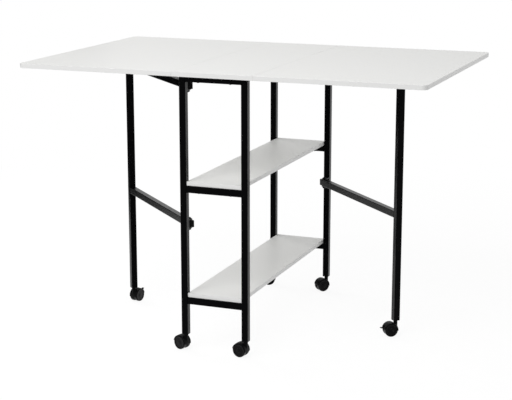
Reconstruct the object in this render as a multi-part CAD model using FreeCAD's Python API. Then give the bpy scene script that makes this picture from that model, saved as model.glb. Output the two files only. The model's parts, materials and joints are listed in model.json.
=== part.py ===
import FreeCAD, Part
import math
import os

# Folding sewing and cutting table: a narrow steel frame with two shelves and a fixed centre
# panel, two long drop leaves, and two gate legs that swing out to hold the leaves up.
# Millimetres. Origin on the floor under the middle of the table, +X along the open table,
# +Y from the front frame to the rear frame, +Z up.

# ---- Top -------------------------------------------------------------------------------
table_length = 1500.0
table_depth = 940.0
table_height = 1003.0
centre_width = 300.0
board_thickness = 16.0
corner_radius = 20.0
board_edge_round = 1.0
seam_gap = 0.6

# ---- Frame -----------------------------------------------------------------------------
side_overhang = 23.0
end_overhang = 14.0
post_side = 24.0
tube_wall = 1.5
tube_corner = 2.2
top_rail_height = 19.0
rail_height = 25.0
middle_rail_top = 604.0
lower_rail_top = 199.0
shelf_thickness = 15.0
shelf_side_gap = 0.5
shelf_end_setback = 4.0
shelf_edge_round = 1.0

# ---- Gates -----------------------------------------------------------------------------
gate_length = 600.0
right_gate_open_angle = 45.0
left_gate_open_angle = 46.0
pivot_setback = 25.0
rail_tail = 15.0
gate_rail_drop = 24.0
gate_middle_rail_top = 471.0
cap_rim = 3.0
cap_wall = 3.0
cap_round = 1.1
cap_plug_depth = 7.0
plug_corner = 0.75
plug_gap = 0.2
leg_cap_height = 4.0
leaf_seat_gap = 0.3

# ---- Gate pivots -----------------------------------------------------------------------
bracket_sheet = 3.0
bracket_ear_radius = 11.0
bracket_bend = 3.0
washer_thickness = 1.0
washer_radius = 8.5
pivot_bolt_radius = 4.0
running_gap = 0.05
bolt_head_radius = 7.0
bolt_head_height = 5.0
bolt_head_round = 3.0
nut_across_flats = 13.0
nut_height = 6.5
thread_stand_out = 2.0

# ---- Leaf hinges -----------------------------------------------------------------------
hinge_count = 3
hinge_pitch = 380.0
hinge_length = 50.0
hinge_plate_width = 26.0
hinge_sheet = 1.5
knuckle_count = 5
knuckle_radius = 3.5
knuckle_gap = 0.4
hinge_pin_radius = 1.6
hinge_screw_inset = 9.0
hinge_screw_reach = 18.0

# ---- Screws ----------------------------------------------------------------------------
screw_radius = 2.0
screw_head_radius = 4.0
screw_head_neck = 2.8
screw_head_height = 2.0
hinge_screw_depth = 11.0
board_screw_radius = 2.2
board_screw_head_radius = 4.5
board_screw_head_crown = 2.9
board_screw_head_height = 2.6
board_screw_depth = 10.0
board_screw_spread = 60.0
screw_fit_gap = 0.1
pilot_extra_depth = 1.0
screw_hole_extra = 0.4

# ---- Casters ---------------------------------------------------------------------------
wheel_radius = 25.0
wheel_width = 11.5
wheel_shoulder = 3.0
wheel_rim = 4.5
wheel_dish = 1.6
wheel_cap_radius = 7.0
wheel_side_gap = 0.6
caster_trail = 20.0
core_width = 11.0
core_inset = 2.0
core_floor_gap = 10.0
hub_radius = 8.0
hood_gap = 0.8
hood_wall = 2.0
hood_side_setback = 0.6
hood_crown = 1.2
hood_front_angle = 188.0
hood_rear_angle = 8.0
boss_radius = 7.5
boss_rise = 4.7
stem_radius = 4.0
stem_tip_rise = 2.0
collar_radius = 5.5
collar_gap = 0.5
collar_height = 1.5
axle_radius = 3.0
axle_end_gap = 3.0
socket_flange = 2.0
socket_depth = 24.0
stem_in_socket = 20.0

# ---- Brake levers ----------------------------------------------------------------------
lever_pivot_angle = 62.0
lever_pivot_inset = 7.3
lever_barrel_radius = 2.6
lever_stub_radius = 1.3
lever_width = 9.0
lever_thickness = 2.4
lever_tongue = 15.0
lever_tongue_angle = 22.0
lever_tip_lift = 24.0
lever_clearance = 0.5
lever_slot_top = 34.0
lever_pocket_floor = 2.0
cheek_thickness = 1.9
lever_swing = 16.0

# ---- How the casters stand: the way each trails, in degrees from +X ----------------------
front_left_trail = 160.0
front_right_trail = 170.0
rear_left_trail = 200.0
rear_right_trail = 228.0
left_gate_trail = 78.0
right_gate_trail = 216.0

# ---- Places worked out from the sizes above ----------------------------------------------
frame_width = centre_width - 2 * side_overhang
frame_depth = table_depth - 2 * end_overhang
post_x = (frame_width - post_side) / 2
post_y = (frame_depth - post_side) / 2
post_inner_x = post_x - post_side / 2
post_inner_y = post_y - post_side / 2
board_bottom = table_height - board_thickness
leaf_width = (table_length - centre_width) / 2 - seam_gap
hinge_x = centre_width / 2 + seam_gap / 2
hinge_z = board_bottom - knuckle_radius
pivot_x = post_x
pivot_y = post_inner_y - pivot_setback
gate_top_rail_top = board_bottom - gate_rail_drop
gate_leg_top = board_bottom - leaf_seat_gap - leg_cap_height
core_radius = wheel_radius - core_inset
hood_inner_radius = wheel_radius + hood_gap
hood_radius = hood_inner_radius + hood_wall
hood_top = wheel_radius + hood_radius
hood_width = core_width + 2 * (wheel_side_gap + wheel_width - hood_side_setback)
lever_pivot_reach = hood_inner_radius - lever_pivot_inset
stem_tip_height = wheel_radius + stem_tip_rise
boss_top = hood_top + boss_rise
flange_bottom = boss_top + collar_gap + collar_height
tube_bottom_height = flange_bottom + socket_flange
tube_bore = post_side - 2 * tube_wall

Z_AXIS = FreeCAD.Vector(0, 0, 1)
Y_AXIS = FreeCAD.Vector(0, 1, 0)
X_AXIS = FreeCAD.Vector(1, 0, 0)
ORIGIN = FreeCAD.Vector(0, 0, 0)


def vec(x, y, z):
    return FreeCAD.Vector(x, y, z)


def save(shape, name):
    shape.exportStep("parts/" + name + ".step")
    print(name, len(shape.Solids), "solids", round(shape.Volume / 1000.0, 2), "cm3")


def moved(shape, x, y, z):
    copy = shape.copy()
    copy.translate(vec(x, y, z))
    return copy


def turned(shape, degrees, centre=ORIGIN, axis=Z_AXIS):
    copy = shape.copy()
    copy.rotate(centre, axis, degrees)
    return copy


def half_turned(shape):
    # the left side of the table is the right side turned half round
    return turned(shape, 180.0)


def group(shapes):
    return Part.makeCompound(shapes)


# ---- Basic stock -------------------------------------------------------------------------

def rounded_outline(width, depth, radius):
    # flat rectangle in XY about the origin with round corners
    x = width / 2
    y = depth / 2
    k = radius * (1 - math.sqrt(0.5))
    edges = []
    corners = [(1, -1), (1, 1), (-1, 1), (-1, -1)]
    points = []
    for sx, sy in corners:
        on_x = vec(sx * (x - radius), sy * y, 0)
        on_y = vec(sx * x, sy * (y - radius), 0)
        middle = vec(sx * (x - k), sy * (y - k), 0)
        if sx == sy:
            points.append((on_y, middle, on_x))
        else:
            points.append((on_x, middle, on_y))
    for i, (start, middle, end) in enumerate(points):
        edges.append(Part.Arc(start, middle, end).toShape())
        following = points[(i + 1) % len(points)][0]
        edges.append(Part.LineSegment(end, following).toShape())
    return Part.Wire(edges)


def prism(wire, height):
    return Part.Face(wire).extrude(vec(0, 0, height))


def tube(width, depth, length):
    # upright rectangular tube, its foot on z = 0
    outer = prism(rounded_outline(width, depth, tube_corner), length)
    bore_corner = tube_corner - tube_wall
    inner = rounded_outline(width - 2 * tube_wall, depth - 2 * tube_wall, bore_corner)
    return outer.cut(prism(inner, length))


def lying_tube(height, depth, length):
    # tube along +X from x = 0, its top face on z = 0
    bar = tube(height, depth, length)
    bar.rotate(ORIGIN, Y_AXIS, 90)
    bar.translate(vec(0, 0, -height / 2))
    return bar


def ring(radius, hole, height):
    return Part.makeCylinder(radius, height).cut(Part.makeCylinder(hole, height))


# ---- Boards ------------------------------------------------------------------------------

def hinge_places():
    first = -hinge_pitch * (hinge_count - 1) / 2
    return [first + i * hinge_pitch for i in range(hinge_count)]


def hinge_screw_places(side):
    # plan places of the screws of one side's plates: side +1 is the leaf, -1 the centre panel
    places = []
    for y in hinge_places():
        for end in (-1, 1):
            along = y + end * (hinge_length / 2 - hinge_screw_inset)
            places.append((hinge_x + side * hinge_screw_reach, along))
    return places


def pilot_holes(places, bottom, radius, depth):
    holes = []
    for x, y in places:
        drill = Part.makeCylinder(radius + screw_fit_gap, depth + pilot_extra_depth)
        holes.append(moved(drill, x, y, bottom))
    return holes


def eased(board, edge_round, keep_square):
    # rounds the long top and bottom edges, apart from those on the planes x = keep_square
    edges = []
    for edge in board.Edges:
        box = edge.BoundBox
        if box.ZLength > edge_round / 2:
            continue
        on_seam = [s for s in keep_square if abs(box.XMin - s) + abs(box.XMax - s) < edge_round]
        if not on_seam:
            edges.append(edge)
    return board.makeFillet(edge_round, edges)


def make_centre_panel():
    board = Part.makeBox(centre_width, table_depth, board_thickness)
    board.translate(vec(-centre_width / 2, -table_depth / 2, board_bottom))
    board = eased(board, board_edge_round, (-centre_width / 2, centre_width / 2))
    right = hinge_screw_places(-1)
    left = [(-x, -y) for x, y in right]
    holes = pilot_holes(right + left, board_bottom, screw_radius, hinge_screw_depth)
    holes += pilot_holes(rail_screw_places(), board_bottom, board_screw_radius, board_screw_depth)
    return board.cut(holes)


def make_right_leaf():
    inner_x = centre_width / 2 + seam_gap
    outline = rounded_outline(2 * leaf_width, table_depth, corner_radius)
    board = prism(outline, board_thickness)
    outer_half = Part.makeBox(leaf_width, table_depth, board_thickness)
    board = board.common(moved(outer_half, 0, -table_depth / 2, 0))
    board.translate(vec(inner_x, 0, board_bottom))
    board = eased(board, board_edge_round, (inner_x,))
    holes = pilot_holes(hinge_screw_places(1), board_bottom, screw_radius, hinge_screw_depth)
    return board.cut(holes)


def make_shelf(rail_top):
    width = 2 * (post_inner_x - shelf_side_gap)
    length = frame_depth - 2 * shelf_end_setback
    board = Part.makeBox(width, length, shelf_thickness)
    board.translate(vec(-width / 2, -length / 2, rail_top))
    board = eased(board, shelf_edge_round, ())
    holes = pilot_holes(rail_screw_places(), rail_top, board_screw_radius, board_screw_depth)
    return board.cut(holes)


# ---- Frame -------------------------------------------------------------------------------

def rail_screw_places():
    return [(x, y) for x in (-board_screw_spread, board_screw_spread) for y in (-post_y, post_y)]


def make_post(x, y):
    post = tube(post_side, post_side, board_bottom - tube_bottom_height)
    return moved(post, x, y, tube_bottom_height)


def make_rail(y, top, height):
    # welded between two posts, drilled for the screws that hold the board above it
    length = 2 * post_inner_x
    rail = moved(lying_tube(height, post_side, length), -length / 2, y, top)
    holes = []
    for x in (-board_screw_spread, board_screw_spread):
        drill = Part.makeCylinder(board_screw_radius + screw_hole_extra, height)
        holes.append(moved(drill, x, y, top - height))
    return rail.cut(holes)


def screw(head_radius, crown_radius, head_height, radius, length):
    # screw pointing up, the underside of its head on z = 0
    head = Part.makeCone(crown_radius, head_radius, head_height)
    return moved(head, 0, 0, -head_height).fuse(Part.makeCylinder(radius, length))


def board_screw(grip):
    # through a rail of the given height and into the board on it
    return screw(
        board_screw_head_radius,
        board_screw_head_crown,
        board_screw_head_height,
        board_screw_radius,
        grip + board_screw_depth,
    )


def make_board_screws():
    screws = []
    for top, height in rail_levels():
        for x, y in rail_screw_places():
            screws.append(moved(board_screw(height), x, y, top - height))
    return group(screws)


def rail_levels():
    # top and height of the top, middle and lower rails
    return (
        (board_bottom, top_rail_height),
        (middle_rail_top, rail_height),
        (lower_rail_top, rail_height),
    )


# ---- Leaf hinges -------------------------------------------------------------------------

def hinge_plate(side):
    # one plate of a butt hinge, pin along Y through the origin; side +1 reaches towards +X
    width = hinge_plate_width
    top = knuckle_radius
    plate = Part.makeBox(width, hinge_length, hinge_sheet)
    plate.translate(vec(0, -hinge_length / 2, top - hinge_sheet))
    pitch = hinge_length / knuckle_count
    end_point = vec(0, -hinge_length / 2, 0)
    plate = plate.fuse(Part.makeCylinder(knuckle_radius, hinge_length, end_point, Y_AXIS))
    bore_radius = hinge_pin_radius + running_gap
    cutters = [Part.makeCylinder(bore_radius, hinge_length, end_point, Y_AXIS)]
    for i in range(knuckle_count):
        is_own = (i % 2 == 0) == (side < 0)
        if is_own:
            continue
        start = -hinge_length / 2 + i * pitch - knuckle_gap / 2
        reach = knuckle_radius + knuckle_gap
        slot = Part.makeBox(2 * reach, pitch + knuckle_gap, 2 * reach)
        cutters.append(moved(slot, -reach, start, -reach))
    for end in (-1, 1):
        drill = Part.makeCylinder(screw_radius + screw_hole_extra, hinge_sheet)
        along = end * (hinge_length / 2 - hinge_screw_inset)
        cutters.append(moved(drill, hinge_screw_reach, along, top - hinge_sheet))
    plate = plate.cut(cutters)
    if side < 0:
        plate = plate.mirror(ORIGIN, X_AXIS)
    return plate


def make_hinge_plates(side):
    return group([moved(hinge_plate(side), hinge_x, y, hinge_z) for y in hinge_places()])


def make_hinge_pins():
    pins = []
    for y in hinge_places():
        start = vec(hinge_x, y - hinge_length / 2, hinge_z)
        pins.append(Part.makeCylinder(hinge_pin_radius, hinge_length, start, Y_AXIS))
    return group(pins)


def hinge_screw():
    # through a hinge plate and into the board over it
    return screw(
        screw_head_radius,
        screw_head_neck,
        screw_head_height,
        screw_radius,
        hinge_sheet + hinge_screw_depth,
    )


def make_hinge_screws(side):
    seat = board_bottom - hinge_sheet
    return group([moved(hinge_screw(), x, y, seat) for x, y in hinge_screw_places(side)])


# ---- Gate pivots -------------------------------------------------------------------------

def bracket_height():
    return rail_height + 2 * (washer_thickness + bracket_sheet)


def gate_rail_tops():
    return (gate_top_rail_top, gate_middle_rail_top)


def pivot_bracket():
    # clevis of bent sheet: web on y = pivot_setback, ears around the Z axis, from z = 0 up
    height = bracket_height()
    radius = bracket_ear_radius
    side = vec(radius, 0, 0)
    outline = Part.Wire([
        Part.Arc(vec(-radius, 0, 0), vec(0, -radius, 0), side).toShape(),
        Part.LineSegment(side, vec(radius, pivot_setback, 0)).toShape(),
        Part.LineSegment(vec(radius, pivot_setback, 0), vec(-radius, pivot_setback, 0)).toShape(),
        Part.LineSegment(vec(-radius, pivot_setback, 0), vec(-radius, 0, 0)).toShape(),
    ])
    block = prism(outline, height)
    bends = []
    for edge in block.Edges:
        on_web = edge.BoundBox.YMin > pivot_setback - bracket_sheet / 2
        if on_web and edge.BoundBox.XLength > radius:
            bends.append(edge)
    block = block.makeFillet(bracket_bend, bends)
    mouth = Part.makeBox(4 * radius, 2 * radius + pivot_setback, height - 2 * bracket_sheet)
    mouth.translate(vec(-2 * radius, -2 * radius - bracket_sheet, bracket_sheet))
    hole = Part.makeCylinder(pivot_bolt_radius + running_gap, height)
    return block.cut([mouth, hole])


def at_right_pivot(shape, rail_top):
    # puts a piece built about a bracket's foot at the rear right post's pivot
    foot = rail_top - rail_height - washer_thickness - bracket_sheet
    return moved(shape, pivot_x, pivot_y, foot)


def both_gates(shape):
    right = [at_right_pivot(shape, top) for top in gate_rail_tops()]
    return group(right + [half_turned(s) for s in right])


def hexagon(across, height):
    corner = across / math.sqrt(3)
    sides = 6
    points = []
    for i in range(sides + 1):
        turn = 2 * math.pi * i / sides
        points.append(vec(corner * math.cos(turn), corner * math.sin(turn), 0))
    return prism(Part.makePolygon(points), height)


def pivot_bolt():
    # round-headed bolt down through both ears, with its head on the upper ear
    top = bracket_height()
    length = top + nut_height + thread_stand_out
    shank = Part.makeCylinder(pivot_bolt_radius, length, vec(0, 0, top - length))
    head = Part.makeCylinder(bolt_head_radius, bolt_head_height)
    upper = [e for e in head.Edges if e.BoundBox.ZMin > bolt_head_height / 2]
    head = head.makeFillet(bolt_head_round, upper)
    return shank.fuse(moved(head, 0, 0, top))


def pivot_nut():
    nut = hexagon(nut_across_flats, nut_height)
    nut = nut.cut(Part.makeCylinder(pivot_bolt_radius + running_gap, nut_height))
    return moved(nut, 0, 0, -nut_height)


def make_pivot_bolts():
    return group(both_gates(pivot_bolt()).Solids + both_gates(pivot_nut()).Solids)


def pivot_washers():
    low = ring(washer_radius, pivot_bolt_radius + running_gap, washer_thickness)
    return group([moved(low, 0, 0, bracket_sheet),
                  moved(low, 0, 0, bracket_sheet + washer_thickness + rail_height)])


# ---- Gates -------------------------------------------------------------------------------

def placed_gate(shape, side, open_angle):
    # local gate frame: pivot on the Z axis, rails along +X; a closed gate lies along the frame
    shape = moved(turned(shape, open_angle - 90.0), pivot_x, pivot_y, 0)
    return shape if side == "right" else half_turned(shape)


def make_gate_leg():
    leg = tube(post_side, post_side, gate_leg_top - tube_bottom_height)
    return moved(leg, gate_length, 0, tube_bottom_height)


def make_gate_rail(top):
    # welded to the leg's inner face, drilled through its tail for the pivot bolt
    length = gate_length - post_side / 2 + rail_tail
    rail = moved(lying_tube(rail_height, post_side, length), -rail_tail, 0, top)
    hole = Part.makeCylinder(pivot_bolt_radius + running_gap, rail_height, vec(0, 0, top - rail_height))
    return rail.cut(hole)


def tube_cap(width, depth, rim):
    # plastic cap lying in XY: rim above z = 0, hollow plug below it
    lid = prism(rounded_outline(width, depth, tube_corner), rim)
    upper = [e for e in lid.Edges if e.BoundBox.ZMin > rim / 2]
    lid = lid.makeFillet(cap_round, upper)
    plug_width = width - 2 * tube_wall - 2 * plug_gap
    plug_depth = depth - 2 * tube_wall - 2 * plug_gap
    plug = prism(rounded_outline(plug_width, plug_depth, plug_corner), cap_plug_depth)
    hollow_width = plug_width - 2 * cap_wall
    hollow_depth = plug_depth - 2 * cap_wall
    hollow = prism(rounded_outline(hollow_width, hollow_depth, plug_corner), cap_plug_depth)
    return lid.fuse(moved(plug.cut(hollow), 0, 0, -cap_plug_depth))


def make_gate_caps():
    # two caps in the rails' tails and one in the leg's top, which the leaf rests on
    caps = []
    for top in gate_rail_tops():
        cap = turned(tube_cap(rail_height, post_side, cap_rim), -90, ORIGIN, Y_AXIS)
        caps.append(moved(cap, -rail_tail, 0, top - rail_height / 2))
    leg_cap = tube_cap(post_side, post_side, leg_cap_height)
    caps.append(moved(leg_cap, gate_length, 0, gate_leg_top))
    return group(caps)


# ---- Caster sockets and stems -------------------------------------------------------------

def caster_socket():
    # plastic insert in a tube's foot, its flange under the tube
    flange = prism(rounded_outline(post_side, post_side, tube_corner), socket_flange)
    plug_side = tube_bore - 2 * plug_gap
    plug = prism(rounded_outline(plug_side, plug_side, plug_corner), socket_depth)
    body = flange.fuse(moved(plug, 0, 0, socket_flange))
    bore = Part.makeCylinder(stem_radius + running_gap, stem_in_socket + socket_flange)
    return moved(body.cut(bore), 0, 0, flange_bottom)


def caster_stem():
    # steel stem from the hood's boss up into the socket, with a collar between them
    top = flange_bottom + socket_flange + stem_in_socket
    shank = Part.makeCylinder(stem_radius, top - stem_tip_height, vec(0, 0, stem_tip_height))
    collar = Part.makeCylinder(collar_radius, collar_height, vec(0, 0, boss_top + collar_gap))
    return shank.fuse(collar)


def on_posts(shape):
    return group([moved(shape, sx * post_x, sy * post_y, 0) for sx in (-1, 1) for sy in (-1, 1)])


# ---- Casters: local frame, swivel on Z, wheels trailing towards +X ------------------------

def axle_line():
    return vec(caster_trail, 0, wheel_radius)


def around_axle(angle, reach):
    # point in the XZ plane at an angle above the rearward horizontal
    turn = math.radians(angle)
    return vec(caster_trail + reach * math.cos(turn), 0, wheel_radius + reach * math.sin(turn))


def disc(radius, width):
    start = vec(caster_trail, -width / 2, wheel_radius)
    return Part.makeCylinder(radius, width, start, Y_AXIS)


def sector(inner, outer, width, low, high):
    # slab of a ring about the axle, between two angles above the rearward horizontal
    half = width / 2
    x0 = caster_trail
    z0 = wheel_radius
    corners = [
        vec(x0 + inner, -half, z0),
        vec(x0 + outer, -half, z0),
        vec(x0 + outer, half, z0),
        vec(x0 + inner, half, z0),
        vec(x0 + inner, -half, z0),
    ]
    face = Part.Face(Part.makePolygon(corners))
    face.rotate(axle_line(), Y_AXIS, -low)
    return face.revolve(axle_line(), Y_AXIS, low - high)


def hood_shell():
    # crowned mudguard over both wheels: its section, swept about the axle
    half = hood_width / 2
    x0 = caster_trail
    under = wheel_radius + hood_inner_radius
    edge = wheel_radius + hood_radius - hood_crown
    left_top = vec(x0, -half, edge)
    right_top = vec(x0, half, edge)
    left_foot = vec(x0, -half, under)
    right_foot = vec(x0, half, under)
    section = Part.Wire([
        Part.Arc(left_top, vec(x0, 0, wheel_radius + hood_radius), right_top).toShape(),
        Part.LineSegment(right_top, right_foot).toShape(),
        Part.LineSegment(right_foot, left_foot).toShape(),
        Part.LineSegment(left_foot, left_top).toShape(),
    ])
    face = Part.Face(section)
    # the section stands straight above the axle; it starts at the rear edge
    face.rotate(axle_line(), Y_AXIS, 90 - hood_rear_angle)
    return face.revolve(axle_line(), Y_AXIS, hood_rear_angle - hood_front_angle)


def hood_core():
    # moulded web between the wheels, flat near the floor, with the boss that takes the stem
    web = disc(core_radius, core_width)
    above_floor = Part.makeBox(4 * wheel_radius, core_width, 2 * wheel_radius)
    above_floor.translate(vec(caster_trail - 2 * wheel_radius, -core_width / 2, core_floor_gap))
    web = web.common(above_floor)
    boss = Part.makeCylinder(boss_radius, boss_top - wheel_radius, vec(0, 0, wheel_radius))
    neck = Part.makeBox(2 * boss_radius, core_width, boss_top)
    neck = boss.common(moved(neck, -boss_radius, -core_width / 2, 0))
    boss = boss.cut(disc(hood_inner_radius, 4 * boss_radius))
    join = sector(hub_radius, hood_radius - hood_wall / 2, core_width, 0, 180)
    return web.fuse([neck, boss, join])


def lever_pivot():
    return around_axle(lever_pivot_angle, lever_pivot_reach)


def lever_room(body):
    # opens the hood for the brake lever: a pocket behind the hub and a slot out to the rear,
    # and leaves the web's two sides standing as lugs about the lever's stubs
    pivot = lever_pivot()
    lug_radius = lever_barrel_radius + lever_clearance
    inside = core_width - 2 * cheek_thickness
    slot_width = lever_width + 2 * lever_clearance
    slot_foot = hood_rear_angle - lever_swing
    pocket = sector(hub_radius, hood_inner_radius, core_width, lever_pocket_floor, lever_pivot_angle)
    slot = sector(core_radius, hood_radius + hood_wall, slot_width, slot_foot, lever_slot_top)
    body = body.cut([pocket, slot])
    body = body.fuse(across_at(pivot, lug_radius, core_width))
    barrel_room = across_at(pivot, lug_radius, inside)
    stub_holes = across_at(pivot, lever_stub_radius + running_gap, core_width)
    return body.cut([barrel_room, stub_holes])


def across_at(point, radius, width):
    # cylinder across the caster about a point
    return Part.makeCylinder(radius, width, vec(point.x, -width / 2, point.z), Y_AXIS)


def make_hood(with_brake):
    body = hood_shell().fuse(hood_core())
    bore_bottom = stem_tip_height - running_gap
    bore = Part.makeCylinder(stem_radius + running_gap, boss_top, vec(0, 0, bore_bottom))
    axle_hole = disc(axle_radius + running_gap, core_width)
    body = body.cut([bore, axle_hole])
    if with_brake:
        body = lever_room(body)
    return body.removeSplitter()


def wheel():
    # one moulded wheel, outer face towards +Y; its half section, turned about the axle
    inner = core_width / 2 + wheel_side_gap
    outer = inner + wheel_width

    def at(y, r):
        return vec(caster_trail, y, wheel_radius + r)

    def line(start, end):
        return Part.LineSegment(start, end).toShape()

    bore = axle_radius + running_gap
    blind = outer - axle_end_gap
    rim_inner = wheel_radius - wheel_rim
    shoulder_start = at(outer - wheel_shoulder, wheel_radius)
    shoulder_end = at(outer, wheel_radius - wheel_shoulder)
    bend = wheel_shoulder * (1 - math.sqrt(0.5))
    shoulder = Part.Arc(shoulder_start, at(outer - bend, wheel_radius - bend), shoulder_end)
    corners = [
        shoulder_end,
        at(outer, rim_inner),
        at(outer - wheel_dish, rim_inner - wheel_dish),
        at(outer, wheel_cap_radius),
        at(outer, 0),
        at(blind, 0),
        at(blind, bore),
        at(inner, bore),
        at(inner, wheel_radius),
        shoulder_start,
    ]
    edges = [line(start, end) for start, end in zip(corners, corners[1:])]
    edges.append(shoulder.toShape())
    return Part.Face(Part.Wire(edges)).revolve(axle_line(), Y_AXIS, 360)


def make_wheels():
    one = wheel()
    return group([one, one.mirror(axle_line(), Y_AXIS)])


def make_axle():
    reach = core_width / 2 + wheel_side_gap + wheel_width - axle_end_gap - running_gap
    return disc(axle_radius, 2 * reach)


def lever(press):
    # brake lever: barrel and stubs between the lugs, arm out to the slot, tongue behind the hood
    pivot = lever_pivot()
    barrel_width = core_width - 2 * cheek_thickness - 2 * lever_clearance
    barrel = across_at(pivot, lever_barrel_radius, barrel_width)
    stubs = across_at(pivot, lever_stub_radius, core_width)
    knee = around_axle(lever_tongue_angle, hood_inner_radius)
    tip = around_axle(lever_tip_lift, hood_radius + lever_tongue)
    arm = bar_between(pivot, knee, barrel_width)
    tongue = bar_between(knee, tip, lever_width)
    body = barrel.fuse([stubs, arm, tongue]).removeSplitter()
    return turned(body, press, pivot, Y_AXIS)


def bar_between(start, end, width):
    # flat bar with round ends in the XZ plane
    run = end - start
    normal = vec(-run.z, 0, run.x).normalize() * (lever_thickness / 2)
    along = vec(run.x, 0, run.z).normalize() * (lever_thickness / 2)
    outline = Part.Wire([
        Part.LineSegment(start + normal, end + normal).toShape(),
        Part.Arc(end + normal, end + along, end - normal).toShape(),
        Part.LineSegment(end - normal, start - normal).toShape(),
        Part.Arc(start - normal, start - along, start + normal).toShape(),
    ])
    bar = Part.Face(outline).extrude(vec(0, width, 0))
    return moved(bar, 0, -width / 2, 0)


def placed_caster(shape, place, trail):
    return moved(turned(shape, trail), place.x, place.y, 0)


def main():
    os.makedirs("parts", exist_ok=True)
    gates = (("right", right_gate_open_angle), ("left", left_gate_open_angle))
    save(make_centre_panel(), "centre_panel")
    leaf = make_right_leaf()
    save(leaf, "right_leaf")
    save(half_turned(leaf), "left_leaf")
    save(make_shelf(middle_rail_top), "upper_shelf")
    save(make_shelf(lower_rail_top), "lower_shelf")

    for end, sy in (("front", -1), ("rear", 1)):
        save(make_post(-post_x, sy * post_y), end + "_left_post")
        save(make_post(post_x, sy * post_y), end + "_right_post")
        for level, (top, height) in zip(("top", "middle", "lower"), rail_levels()):
            save(make_rail(sy * post_y, top, height), end + "_" + level + "_rail")
    save(make_board_screws(), "board_screws")

    fixed = make_hinge_plates(-1)
    pins = make_hinge_pins()
    fixed_screws = make_hinge_screws(-1)
    save(group([fixed, half_turned(fixed)]), "centre_hinge_plates")
    save(group([pins, half_turned(pins)]), "hinge_pins")
    save(group([fixed_screws, half_turned(fixed_screws)]), "centre_hinge_screws")
    save(make_hinge_plates(1), "right_leaf_hinge_plates")
    save(half_turned(make_hinge_plates(1)), "left_leaf_hinge_plates")
    save(make_hinge_screws(1), "right_leaf_hinge_screws")
    save(half_turned(make_hinge_screws(1)), "left_leaf_hinge_screws")

    save(both_gates(pivot_bracket()), "pivot_brackets")
    save(make_pivot_bolts(), "pivot_bolts")
    save(both_gates(pivot_washers()), "pivot_washers")

    gate_pieces = (
        ("gate_leg", make_gate_leg()),
        ("gate_top_rail", make_gate_rail(gate_top_rail_top)),
        ("gate_middle_rail", make_gate_rail(gate_middle_rail_top)),
        ("gate_caps", make_gate_caps()),
        ("gate_caster_socket", moved(caster_socket(), gate_length, 0, 0)),
        ("gate_caster_stem", moved(caster_stem(), gate_length, 0, 0)),
    )
    for side, open_angle in gates:
        for name, shape in gate_pieces:
            save(placed_gate(shape, side, open_angle), side + "_" + name)
    save(on_posts(caster_socket()), "post_caster_sockets")
    save(on_posts(caster_stem()), "post_caster_stems")

    casters = [
        ("front_left", vec(-post_x, -post_y, 0), front_left_trail, False),
        ("front_right", vec(post_x, -post_y, 0), front_right_trail, False),
        ("rear_left", vec(-post_x, post_y, 0), rear_left_trail, False),
        ("rear_right", vec(post_x, post_y, 0), rear_right_trail, False),
    ]
    levers = {"right": lever(lever_swing), "left": lever(0.0)}
    trails = {"right": right_gate_trail, "left": left_gate_trail}
    for side, open_angle in gates:
        foot = placed_gate(Part.Vertex(gate_length, 0, 0), side, open_angle).Point
        casters.append((side + "_gate", foot, trails[side], True))
        save(placed_caster(levers[side], foot, trails[side]), side + "_brake_lever")
    wheels = make_wheels()
    axle = make_axle()
    for name, place, trail, with_brake in casters:
        save(placed_caster(make_hood(with_brake), place, trail), name + "_caster_hood")
        save(placed_caster(wheels, place, trail), name + "_caster_wheels")
        save(placed_caster(axle, place, trail), name + "_caster_axle")


main()
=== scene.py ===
# %% [markdown]
# # A folding cutting table, from construction to render
# The table is a long white work top in three boards: a fixed centre panel and two leaves that
# hinge down beside a narrow frame of black steel tube. Two gate legs swing out of the frame to
# hold the leaves up, and the whole table rolls on six small twin-wheel casters.
#
# The construction comes in ready made, one mesh per part, in metres, with Z up and the floor at
# zero. The lesson adds what construction leaves out: surface finishes, small moulded and turned
# parts, the weld seams, light and a camera.

# %% Load the construction
import json
import math

import bmesh
import bpy
from mathutils import Matrix, Vector


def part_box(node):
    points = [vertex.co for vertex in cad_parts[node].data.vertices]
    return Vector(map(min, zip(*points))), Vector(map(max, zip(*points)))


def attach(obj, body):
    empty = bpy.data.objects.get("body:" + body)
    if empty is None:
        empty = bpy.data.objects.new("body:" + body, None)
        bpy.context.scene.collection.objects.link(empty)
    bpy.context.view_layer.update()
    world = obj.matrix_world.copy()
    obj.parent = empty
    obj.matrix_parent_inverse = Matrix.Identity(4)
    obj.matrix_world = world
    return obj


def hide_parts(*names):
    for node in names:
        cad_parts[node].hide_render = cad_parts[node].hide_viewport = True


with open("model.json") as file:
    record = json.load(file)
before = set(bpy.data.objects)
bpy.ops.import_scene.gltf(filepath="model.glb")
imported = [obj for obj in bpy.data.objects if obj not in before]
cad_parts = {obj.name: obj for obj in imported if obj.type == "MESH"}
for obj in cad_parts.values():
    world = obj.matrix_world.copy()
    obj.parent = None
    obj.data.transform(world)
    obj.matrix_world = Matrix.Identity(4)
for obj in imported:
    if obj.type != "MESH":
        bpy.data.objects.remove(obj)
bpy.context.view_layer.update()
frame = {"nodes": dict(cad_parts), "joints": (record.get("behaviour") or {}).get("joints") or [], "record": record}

nodes = frame["nodes"]
joints = {joint["name"]: joint for joint in frame["joints"]}
scene = bpy.context.scene

# %% [markdown]
# ## Units and colour
# A maker thinks in millimetres and Blender in metres, so one constant turns one into the other.
# Colours are picked as sRGB hex values, as on a paint card. Shaders add up light, which needs
# linear numbers, so one function does that change for every colour in the file.

# %% Millimetres and hex colours
MM = 0.001


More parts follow.
